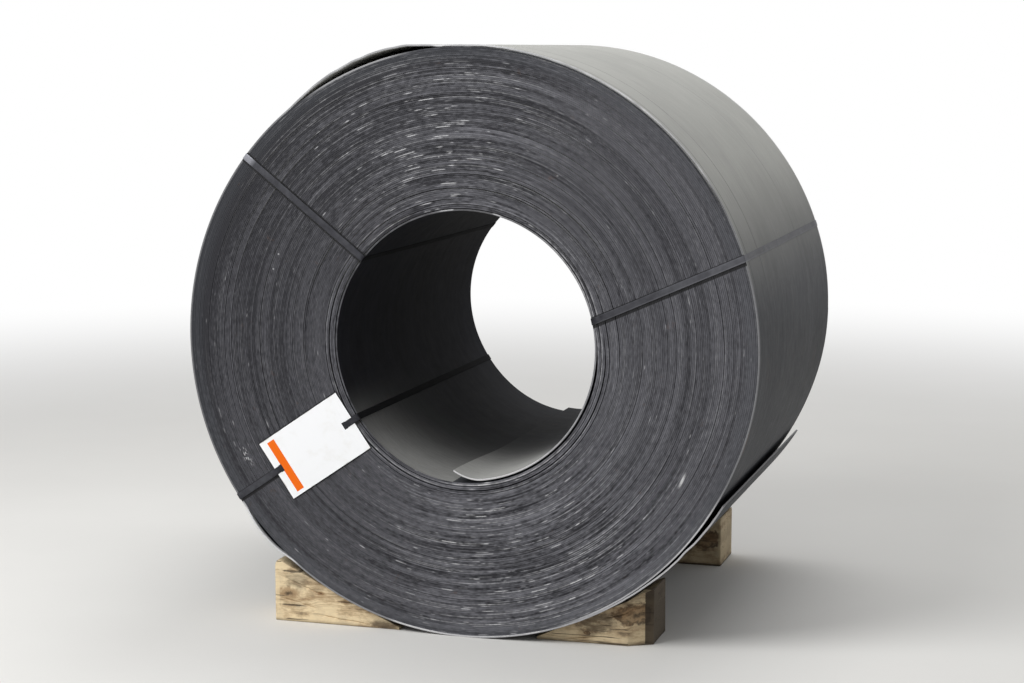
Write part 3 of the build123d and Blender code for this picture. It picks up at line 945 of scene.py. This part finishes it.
def strap_loop(node, bend):
    """A strap's thickness and the stations of its outside: place, direction across, direction out."""
    (inner, outer), nearest, furthest = strap_angles(node)
    low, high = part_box(node)
    # Under the strap is a gap a third as wide as the strap is thick.
    thickness = (furthest - COIL_RADIUS) / 4 * 3
    radial = [Vector((math.cos(a), 0, math.sin(a))) for a in (inner, outer)]
    across = [Vector((-math.sin(a), 0, math.cos(a))) for a in (inner, outer)]
    ends = [radial[0] * (nearest + thickness / 2), radial[1] * (furthest - thickness / 2)]
    line = []

    def station(point, side, out):
        line.append((point + Vector((0, 0, AXIS_HEIGHT)), side, out))

    near, far = Vector((0, low.y, 0)), Vector((0, high.y, 0))
    near_face, far_face = Vector((0, -1, 0)), Vector((0, 1, 0))
    # Each corner: its place, the directions out of the strap before and after it, and its end of the run.
    corners = [
        (ends[1] + near, near_face, radial[1], 1),
        (ends[1] + far, radial[1], far_face, 1),
        (ends[0] + far, far_face, -radial[0], 0),
        (ends[0] + near, -radial[0], near_face, 0),
    ]
    for number, (corner, out_before, out_after, side) in enumerate(corners):
        for step in range(BEND_STEPS + 1):
            turn = step / BEND_STEPS * math.pi / 2
            out = out_before * math.cos(turn) + out_after * math.sin(turn)
            station(corner - (out_before + out_after) * bend + out * bend, across[side], out)
        following = corners[(number + 1) % 4]
        begin = corner - out_before * bend
        finish = following[0] - following[2] * bend
        for step in range(1, RUN_STEPS):
            share = step / RUN_STEPS
            side_now = across[side].lerp(across[following[3]], share).normalized()
            station(begin.lerp(finish, share), side_now, out_after)
    return thickness, line


def strap_tone(node, station):
    """How light a strap is at a station: by its place on the ends, darker outside, and darkest in the eye,
    where the darkening is painted shade.
    """
    look = STRAPS[node]
    if node == "strap_lower_left" and not OUTER_FAR <= station < WHOLE_LOOP - BEYOND_TAG_STATIONS:
        tone = BEYOND_TAG_TONE
    else:
        corners = (OUTER_FAR + BEND_STEPS, INNER_FAR, INNER_NEAR + BEND_STEPS, WHOLE_LOOP)
        tone = float(np.interp(station, corners, (look.outermost, look.by_eye, look.by_eye, look.outermost)))
    if BEND_STEPS < station < OUTER_FAR:
        return tone * 0.5
    return tone * 0.2 if INNER_FAR < station <= INNER_NEAR + BEND_STEPS else tone


def strap_material(settings):
    """Blackened strapping: rubbed edges and bends with painted highlights, dull streaks along it, specks of
    rust, painted shade in the eye.
    """
    steel, bare, rust, dark = tuples(settings, "steel bare rust in_eye")
    paint = Paint("strapping")
    radius = paint.around_axis()[-1]
    # Painted shade where the strap runs through the eye.
    in_eye = radius.fall(EYE_RADIUS, EYE_RADIUS + 3 * MM)
    cloud = paint.noise(paint.place, 14.0, 5.0, 0.65)
    grain = paint.noise(paint.place, 320.0, 3.0, 0.6)
    fine = paint.noise(paint.stretch(paint.place, 60.0, 14.0, 60.0), 1.0, 3.0)
    lightness = paint.attribute("tone") * 0.5 + (cloud - 0.5) * 0.3 + (fine - 0.5) * 0.2
    rubbed_and_highlight = (paint.attribute("shine") * (0.5 + grain)).clamp()
    return paint.finish(
        base_color=paint.layers(
            steel,
            (bare, lightness.clamp()),
            (bare, rubbed_and_highlight),
            (rust, paint.noise(paint.place, 42.0, 5.0, 0.7).rise(0.64, 0.76) * 0.3),
            (dark, in_eye * 0.85),
        ),
        metallic=rubbed_and_highlight * 0.5,
        roughness=0.5 + in_eye * 0.4 - rubbed_and_highlight * 0.12 + (grain - 0.5) * 0.2,
        normal=paint.bump(fine * 0.5 + grain * 0.3 + cloud * 0.4, 0.2 * MM, 0.6),
        specular=0.1,
    )


def seal_material(settings):
    """Zinc-coated seals: spangle and dull clouds."""
    zinc, dull = tuples(settings, "zinc dull_zinc")
    paint = Paint("seal_zinc")
    spangle = paint.noise(paint.place, 160.0, 2.0, 0.4)
    cloud = paint.noise(paint.place, 30.0, 4.0)
    return paint.finish(
        base_color=paint.mix(dull, zinc, (spangle * 0.7 + cloud * 0.5).clamp()),
        metallic=0.75,
        roughness=0.36 + (spangle - 0.5) * 0.3,
        normal=paint.bump(spangle + cloud, 0.15 * MM, 0.5),
        specular=0.5,
    )


class COIL_OT_straps(bpy.types.Operator):
    """Lays the three steel straps and finishes their seals"""

    bl_idname = "coil.straps"
    bl_label = "Lay the straps"

    def execute(self, context):
        settings = context.scene.coil_straps
        material = strap_material(settings)
        for node in STRAPS:
            self.lay(node, settings.bend, material)
        zinc = seal_material(settings)
        for name, node in frame["nodes"].items():
            if name.startswith("seal"):
                node.data.materials.clear()
                node.data.materials.append(zinc)
        return {"FINISHED"}

    @staticmethod
    def lay(node, bend, material):
        thickness, line = strap_loop(node, bend)
        # Round the strap: share of its half width, and of its thickness below the outside.
        section = [(-1, 0.7), (-1, 0.3), (-0.95, 0), (-0.5, 0), (0.5, 0), (0.95, 0), (1, 0.3), (1, 0.7)]
        section += [(0.95, 1), (-0.95, 1)]
        points, shine, tones = [], [], []
        for station, (point, side, out) in enumerate(line):
            # Painted highlights: the upper left strap is bright over its outer near corner, partly from
            # wear, the right one along its lower edge.
            at_corner = station <= BEND_STEPS or station == WHOLE_LOOP - 1
            worn = 0.92 if node == "strap_upper_left" and at_corner else 0.0
            tone = strap_tone(node, station)
            for share, depth in section:
                points.append(point + side * (share * STRAP_WIDTH / 2) - out * (depth * thickness))
                lower_edge = node == "strap_right" and share * side.z < -0.9 * abs(side.z)
                shine.append(max(worn, 0.6 * tone if lower_edge else 0.0))
                tones.append(tone)
        size, count = len(section), len(line)
        faces = []
        for i in range(count):
            here, after = i * size, (i + 1) % count * size
            for k in range(size):
                following = (k + 1) % size
                faces.append((here + k, here + following, after + following, after + k))
        attributes = {"shine": shine, "tone": tones}
        piece = new_piece(f"{node}_band", points, faces, [material], None, attributes, 50)
        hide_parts(node)


def card_material(settings, place):
    """White card with one printed bar, soft mottle, handling marks and grubby edges."""
    card, mottled, grubby, smudge, bar, bar_thin = tuples(
        settings, "card mottled grubby smudge bar bar_thin"
    )
    paint = Paint("card")
    x, _, z = paint.split(paint.place)
    along, across = place.measure(x, z - AXIS_HEIGHT)
    fibre = paint.noise(paint.place, 900.0, 2.0)
    mottle = paint.noise(paint.place, 28.0, 4.0)
    # The bar's rim is soft over this much and wobbles with the card's fibre.
    soft = 0.4 * MM
    wobble = (fibre - 0.5) * 0.0012
    middle = place.end - settings.bar_inset - settings.bar_width / 2
    half_width, half_length = settings.bar_width / 2, settings.bar_length / 2
    printed = (abs(along - middle) + wobble).fall(half_width - soft, half_width + soft)
    printed = printed * (across + wobble).fall(half_length - soft, half_length + soft)
    ink = paint.mix(bar, bar_thin, ((fibre + mottle - 0.7) * 0.3).clamp())
    edge = across.rise(place.half - 0.004, place.half) + (along - place.end).rise(-0.004, 0.0)
    handled = paint.noise(paint.place, 11.0, 5.0, 0.7).rise(0.6, 0.78)
    return paint.finish(
        base_color=paint.layers(
            card,
            (mottled, mottle.rise(0.5, 0.8) * 0.3),
            (ink, printed),
            (grubby, edge.clamp() * mottle.rise(0.42, 0.7) * 0.5),
            (smudge, handled * 0.08),
        ),
        roughness=0.52 + (mottle - 0.5) * 0.2 - printed * 0.1,
        normal=paint.bump(fibre * 0.3 + mottle, 0.25 * MM, 0.5),
        specular=0.15,
    )


class COIL_OT_tag(bpy.types.Operator):
    """Threads the card tag on the lower left strap"""

    bl_idname = "coil.tag"
    bl_label = "Thread the tag"

    def execute(self, context):
        settings = context.scene.coil_tag
        place = TagPlace()
        sheet = self.sheet(settings, place)
        # The sheet gets its thickness towards the coil.
        solid = bmesh.new()
        solid.from_mesh(sheet)
        bpy.data.meshes.remove(sheet)
        bmesh.ops.recalc_face_normals(solid, faces=solid.faces)
        if sum(face.normal.y for face in solid.faces) > 0:
            bmesh.ops.reverse_faces(solid, faces=solid.faces)
        everything = solid.verts[:] + solid.edges[:] + solid.faces[:]
        bmesh.ops.solidify(solid, geom=everything, thickness=-settings.thickness)
        loose = [vertex for vertex in solid.verts if not vertex.link_faces]
        bmesh.ops.delete(solid, geom=loose, context="VERTS")
        bmesh.ops.recalc_face_normals(solid, faces=solid.faces)
        solid.verts.index_update()
        points = [vertex.co[:] for vertex in solid.verts]
        # The new rim's faces come in any order, so they are sorted to be the same each run.
        faces = sorted([vertex.index for vertex in face.verts] for face in solid.faces)
        solid.free()
        piece = new_piece("tag_card", points, faces, [card_material(settings, place)])
        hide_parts("tag")
        return {"FINISHED"}

    @staticmethod
    def sheet(settings, place):
        """The card without thickness: it lies over the strap between its slots and under it beyond them."""
        levels = -node_points("tag")[:, 1]
        under, over = levels.min(), levels.max() - settings.thickness
        slots = (place.start + settings.inner_slot, place.end - settings.outer_slot)
        slot_half, slot_reach = settings.slot_length / 2, settings.slot_width / 2
        sides = [slot + reach for slot in slots for reach in (-slot_reach, slot_reach)]
        columns = np.unique(np.concatenate([np.linspace(place.start, place.end, 73), sides]))
        rows = np.linspace(-place.half, place.half, 49)
        rows = np.unique(np.concatenate([rows, [-slot_half, slot_half]]))
        points = []
        for a in columns:
            for b in rows:
                ramp = 6 * MM + 34 * MM * float(smooth((abs(b) - slot_half) / (place.half - slot_half)))
                raised = float(smooth((a - slots[0]) / ramp + 0.5) * smooth((slots[1] - a) / ramp + 0.5))
                wave = 0.3 * MM * noise.noise(Vector((a * 14, b * 14, 3.0))) / (over - under)
                level = under + (over - under) * min(1.0, max(0.0, raised * 0.86 + 0.07 + wave))
                points.append(place.along * a + place.across * b + (0, -level, AXIS_HEIGHT))
        high = len(rows)
        faces = []
        for i, a in enumerate((columns[1:] + columns[:-1]) / 2):
            for k, b in enumerate((rows[1:] + rows[:-1]) / 2):
                in_slot = abs(b) < slot_half and any(abs(a - slot) < slot_reach for slot in slots)
                if not in_slot:
                    corner = i * high + k
                    faces.append((corner, corner + 1, corner + high + 1, corner + high))
        return new_mesh("card", points, faces)


def cube_grid(counts):
    """Points and faces of a unit cube whose sides are divided, without doubled points."""
    lattice, faces = {}, []
    for fixed in range(3):
        first, second = [axis for axis in range(3) if axis != fixed]
        for end in (0, counts[fixed]):
            for i in range(counts[first]):
                for k in range(counts[second]):
                    corner = []
                    for di, dk in ((0, 0), (1, 0), (1, 1), (0, 1)):
                        key = [0, 0, 0]
                        key[fixed], key[first], key[second] = end, i + di, k + dk
                        corner.append(lattice.setdefault(tuple(key), len(lattice)))
                    faces.append(corner if (end == 0) == (fixed == 1) else corner[::-1])
    return np.array(list(lattice), float) / counts, faces


class COIL_OT_chocks(bpy.types.Operator):
    """Saws the timber wedges, with worn arrises, splits and uneven faces"""

    bl_idname = "coil.chocks"
    bl_label = "Saw the wedges"

    # Share of the height, start and end as shares of the wedge's length, and half width in millimetres.
    SPLITS = ((0.74, 0.55, 1.0, 2.4), (0.37, 0.62, 0.98, 1.6), (0.2, 0.2, 0.62, 1.4))

    def execute(self, context):
        for number, node in enumerate(CHOCKS):
            self.saw(node, number, context.scene.coil_chocks)
        return {"FINISHED"}

    def saw(self, node, number, settings):
        low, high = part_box(node)
        side = -1 if high.x + low.x < 0 else 1
        toe, heel = (high.x, low.x) if side < 0 else (low.x, high.x)
        corners = node_points(node)
        toe_height = (corners[np.abs(corners[:, 0] - toe) < MM, 2] + AXIS_HEIGHT).max()
        reach, depth = abs(heel - toe), high.y - low.y
        counts = (110, 44, 62) if "near" in node else (70, 30, 40)
        cube, faces = cube_grid(counts)
        shift = Vector((17.3 * number, 5.1 * number, 0))
        rounding = 24 * MM if node == "chock_near_left" else 9 * MM
        has_split = node == "chock_near_right"
        points, shades = [], []
        # Shares of the wedge: a from toe to heel, c from the near face to the far one, b from foot to top.
        for a, c, b in cube:
            height = toe_height + (high.z - toe_height) * a
            wedge = Vector((reach, depth, height))
            spot = self.worn(Vector((a, c, b)) * wedge, shift, wedge, settings.arris)
            spot = spot + self.dip(spot, shift, (a, b, c), height, number)
            # The top corner at the heel is rounded off.
            past, above = spot.x - reach + rounding, spot.z - height + rounding
            if past > 0 and above > 0:
                share = max(past, above) / math.hypot(past, above)
                spot.x += past * (share - 1)
                spot.z += above * (share - 1)
            if has_split:
                slope = settings.split_length / settings.split_depth
                cut = spot.x - (reach - settings.split_length) - spot.y * slope
                cut += 3 * MM * noise.noise((spot + shift) * 45)
                if cut > 0:
                    pulled = cut * 0.36
                    spot.x -= pulled
                    spot.y += pulled * slope * 0.9
            # Painted shade on the heel face of the near right wedge.
            shades.append(float(has_split and a > 1 - 1e-6))
            x = toe + (heel - toe) / reach * spot.x
            points.append((x, low.y + spot.y, max(0.0, spot.z)))
        if side < 0:
            faces = [face[::-1] for face in faces]
        material = timber_material(settings, number, side)
        piece = new_piece(f"{node}_timber", points, faces, [material], None, {"shade": shades}, 60)
        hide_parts(node)

    @staticmethod
    def worn(spot, shift, wedge, arris):
        """A point of the wedge, drawn in to a rounded and uneven arris where it lies near one."""
        reach, depth, height = wedge
        rough = noise.noise((spot + shift) * 38) + 0.5 * noise.noise((spot + shift) * 90)
        wear = min(arris * (0.55 + 0.5 * max(0.0, rough)), height * 0.3)
        inner = Vector((
            min(max(spot.x, 0), reach - wear),
            min(max(spot.y, wear), depth - wear),
            min(max(spot.z, wear * 0.4), height - wear * 0.8),
        ))
        off = spot - inner
        if off.length <= 1e-9:
            return spot
        reaches = (wear if off.x > 0 else 0, wear, wear * (0.8 if off.z > 0 else 0.4))
        shares = Vector([part / most if most else 0 for part, most in zip(off, reaches)])
        scale = max(abs(share) for share in shares) / shares.length
        return inner + Vector([share * scale * most for share, most in zip(shares, reaches)])

    @staticmethod
    def dip(spot, shift, shares, height, number):
        """How far a face of the wedge lies behind its flat plane: saw marks, hollows and splits."""
        a, b, c = shares
        moved = Vector((0, 0, 0))
        place = spot + shift
        hollow = 0.5 + 0.5 * noise.noise(place * 9)
        marks = 0.5 + 0.5 * noise.noise(Vector((place.x * 12, place.y * 12, place.z * 210)))
        amount = (1.2 * hollow + 0.5 * marks) * MM
        if not 1e-6 <= c <= 1 - 1e-6:
            split = 0.0
            for level, start, end, wide in COIL_OT_chocks.SPLITS:
                centre = height * level + 4 * MM * noise.noise(Vector((place.x * 16, number + level, 0)))
                open_here = float(window(a, start, end + 0.05, 0.12))
                split = max(split, open_here * max(0.0, 1 - abs(spot.z - centre) / (wide * MM)))
            moved.y = (amount + 5 * MM * split) * (1 if c < 0.5 else -1)
        if a > 1 - 1e-6:
            moved.x = -amount
        if b > 1 - 1e-6:
            moved.z = -0.4 * amount
        return moved


def timber_material(settings, number, side):
    """Rough sawn softwood: bowed grain with knots, weathering, saw marks, stains and dark splits; painted
    shade, most on the far wedges and on the near right wedge's heel; darker towards the foot.
    """
    pale, brown, grey, dirt = tuples(settings, "pale brown grey dirt")
    paint = Paint(f"timber_{number + 1}")
    offset = (number * 1.7, number * 0.9, number * 0.37)
    moved = paint.node("ShaderNodeVectorMath", [paint.place, offset], operation="ADD")
    warp = paint.noise(moved, 7.0, 2.0)
    ragged = paint.noise(moved, 60.0, 4.0, 0.65)
    x, y, z = paint.split(moved)
    here_x, _, here_z = paint.split(paint.place)

    def patch(at_x, at_z, half_x, half_z):
        """1 inside an oval with a ragged rim, through the wedge from end to end, and 0 outside."""
        off_x, off_z = (here_x - at_x) / half_x, (here_z - at_z) / half_z
        return ((off_x * off_x + off_z * off_z).sqrt() + (ragged - 0.5) * 1.3).fall(0.55, 1.05)

    checks = paint.noise(paint.stretch(moved, 5.0, 30.0, 150.0), 1.0, 2.0).rise(0.66, 0.7)
    # What differs between the wedges of the two sides: knots by place and size, darker patches and worn
    # patches.
    if side > 0:
        knots = [(0.489, 0.088, 0.034), (0.352, 0.03, 0.006)]
        dark_patches = patch(0.38, 0.06, 0.07, 0.04) * 0.7 + patch(0.475, 0.135, 0.06, 0.025) * 0.5
        worn_pale = patch(0.536, 0.07, 0.01, 0.06) * 0.7 + patch(0.45, 0.018, 0.07, 0.012) * 0.4
    else:
        knots = [(-0.551, 0.084, 0.022), (-0.447, 0.09, 0.006), (-0.37, 0.07, 0.01)]
        dark_patches = patch(-0.52, 0.122, 0.05, 0.026) * 0.5 + patch(-0.24, 0.012, 0.06, 0.016) * 0.75
        worn_pale = patch(-0.572, 0.168, 0.032, 0.02) * 0.8 + patch(-0.583, 0.08, 0.008, 0.08) * 0.6
        checks = checks + patch(-0.535, 0.049, 0.045, 0.0035) + patch(-0.53, 0.15, 0.04, 0.004)
        checks = checks + patch(-0.366, 0.07, 0.04, 0.004) * 0.7
    # The grain bends round the knots.
    bend, knotted, cores = 0.0, 0.0, 0.0
    for at_x, at_z, size in knots:
        off_x, off_z = here_x - at_x, here_z - at_z
        away = (off_x * off_x * 0.4 + off_z * off_z * 1.6).sqrt() + (ragged - 0.5) * 1.5 * size
        bend = (off_z * away.fall(size * 0.4, size * 3.0)) * -0.6 + bend
        knotted = away.fall(size * 0.6, size * 1.4) + knotted
        if side > 0:
            cores = away.near(size * 0.9, size * 0.35) + cores
        cores = away.fall(size * 0.05, size * 0.55) + cores
    level = z + bend + (warp - 0.5) * 0.04 + x * 0.05 * side
    rings = paint.noise(paint.join(x * 1.6, y * 2.2, level * 95.0), 1.0, 3.0, 0.6)
    fibre = paint.noise(paint.stretch(moved, 9.0, 60.0, 330.0), 1.0, 3.0, 0.65)
    late = rings.rise(0.5, 0.66)
    weather = paint.noise(moved, 6.5, 5.0, 0.65)
    stain = paint.noise(paint.stretch(moved, 11.0, 12.0, 26.0), 1.0, 6.0, 0.68)
    # Painted shade by the wedge's place: none on the near left, most on the far ones.
    shade_share = (0.0, 0.26, 0.42, 0.5)[number]
    foot = here_z.fall(0.0, 0.012)
    saw = paint.noise(paint.stretch(moved, 240.0, 20.0, 26.0), 1.0, 2.0)
    height = late * 0.35 + fibre * 0.7 + saw * 0.35 - checks.clamp() * 1.5 - cores.clamp() * 0.4
    return paint.finish(
        base_color=paint.layers(
            pale,
            (brown, (late * 0.45 + (fibre - 0.5) * 0.45).clamp()),
            (grey, weather.rise(0.44, 0.7) * 0.7),
            (brown, knotted.clamp() * 0.7),
            (dirt, cores.clamp() * 0.8),
            (brown, stain.rise(0.46, 0.6) * 0.45),
            (dirt, stain.rise(0.57, 0.7) * 0.6),
            (dirt, (dark_patches * (stain.rise(0.38, 0.56) * 0.8 + 0.25)).clamp() * 0.85),
            (pale, worn_pale.clamp()),
            (dirt, checks.clamp() * 0.8),
            # Darker towards the foot, and painted shade by the wedge's place.
            (dirt, (foot * 0.5 + shade_share * (weather * 0.8 + 0.5)).clamp()),
            # Painted shade on the near right heel.
            (dirt, paint.attribute("shade") * 0.93),
        ),
        roughness=0.78 + (fibre - 0.5) * 0.25,
        normal=paint.bump(height, 1.3 * MM, 0.8),
        specular=0.3,
    )


class COIL_OT_stage(bpy.types.Operator):
    """Sets the plain floor, the soft lights and the camera"""

    bl_idname = "coil.stage"
    bl_label = "Set the stage"

    def execute(self, context):
        settings = context.scene.coil_stage
        self.floor(settings, reach=12.0, sides=96)
        self.world(settings)
        self.lamp("key_lamp", place=(-2.6, -3.6, 4.6), size=3.6, power=settings.key)
        self.lamp("top_lamp", place=(0.8, 1.6, 5.2), size=3.4, power=settings.key * 0.4)
        # The photograph's viewpoint, aimed at the coil.
        lens = bpy.data.cameras.new("camera")
        lens.lens = settings.lens
        target = (0.06, -0.35, AXIS_HEIGHT - 0.02)
        context.scene.camera = new_object("camera", lens, place=(1.85, -6.27, 1.67), target=target)
        context.scene.view_settings.view_transform = "Standard"
        return {"FINISHED"}

    @staticmethod
    def lamp(name, place, size, power):
        light = bpy.data.lights.new(name, "AREA")
        light.shape = "DISK"
        light.size = size
        light.energy = power
        new_object(name, light, place, target=(0, 0, AXIS_HEIGHT))

    @staticmethod
    def floor(settings, reach, sides):
        """A wide round floor that fades into the white surroundings."""
        pale, grey = tuples(settings, "floor floor_grey")
        paint = Paint("floor")
        x, y, _ = paint.split(paint.place)
        distance = (x * x + y * y).sqrt()
        mottle = paint.noise(paint.place, 1.4, 5.0)
        grit = paint.noise(paint.place, 160.0, 2.0)
        base = paint.mix(pale, grey, (mottle * 0.6 + grit * 0.3).clamp())
        sockets = {"Base Color": base, "Roughness": 0.85, "Specular IOR Level": 0.2}
        matt = paint.node("ShaderNodeBsdfPrincipled", sockets)
        white = paint.node("ShaderNodeEmission", {"Color": (1, 1, 1, 1), "Strength": 1.0})
        seen = paint.node("ShaderNodeLightPath", (), "Is Camera Ray")
        faded = paint.node("ShaderNodeMixShader", [distance.rise(2.6, 8.0) * seen, matt, white])
        paint.node("ShaderNodeOutputMaterial", [faded])
        turns = [2 * math.pi * i / sides for i in range(sides)]
        points = [(0, 0, 0)] + [(reach * math.cos(turn), reach * math.sin(turn), 0) for turn in turns]
        faces = [(0, i + 1, (i + 1) % sides + 1) for i in range(sides)]
        mesh = new_mesh("floor", points, faces)
        mesh.materials.append(paint.material)
        new_object("floor", mesh, place=(0, 0, -0.2 * MM))

    @staticmethod
    def world(settings):
        """White to the eye and in reflections, and a softer light on everything."""
        world = bpy.data.worlds.new("studio")
        bpy.context.scene.world = world
        nodes = Nodes(world)
        kinds = ("Camera", "Glossy", "Transmission")
        camera, glossy, through = (nodes.node("ShaderNodeLightPath", (), f"Is {kind} Ray") for kind in kinds)
        sockets = {"Value": camera.larger(glossy).larger(through), "To Min": settings.sky, "To Max": 1.0}
        strength = nodes.node("ShaderNodeMapRange", sockets)
        sockets = {"Color": (1, 1, 1, 1), "Strength": strength}
        nodes.node("ShaderNodeOutputWorld", [nodes.node("ShaderNodeBackground", sockets)])


OPERATORS = (COIL_OT_strip, COIL_OT_straps, COIL_OT_tag, COIL_OT_chocks, COIL_OT_stage)


class COIL_PT_panel(bpy.types.Panel):
    """Buttons and settings of the coil."""

    bl_idname = "COIL_PT_panel"
    bl_label = "Steel coil"
    bl_space_type = "VIEW_3D"
    bl_region_type = "UI"
    bl_category = "Steel coil"

    def draw(self, context):
        for operator in OPERATORS:
            self.layout.operator(operator.bl_idname)
        for name, group in SETTINGS.items():
            box = self.layout.box()
            box.label(text=group.__doc__)
            for key in group.__annotations__:
                box.prop(getattr(context.scene, name), key)


CLASSES = (*SETTINGS.values(), *OPERATORS, COIL_PT_panel)


def register():
    for cls in CLASSES:
        bpy.utils.register_class(cls)
    for name, group in SETTINGS.items():
        setattr(bpy.types.Scene, name, PointerProperty(type=group))


def unregister():
    for name in SETTINGS:
        delattr(bpy.types.Scene, name)
    for cls in reversed(CLASSES):
        bpy.utils.unregister_class(cls)


def main():
    """Builds everything."""
    register()
    bpy.ops.coil.strip()
    bpy.ops.coil.straps()
    bpy.ops.coil.tag()
    bpy.ops.coil.chocks()
    bpy.ops.coil.stage()


if __name__ == "__main__":
    main()
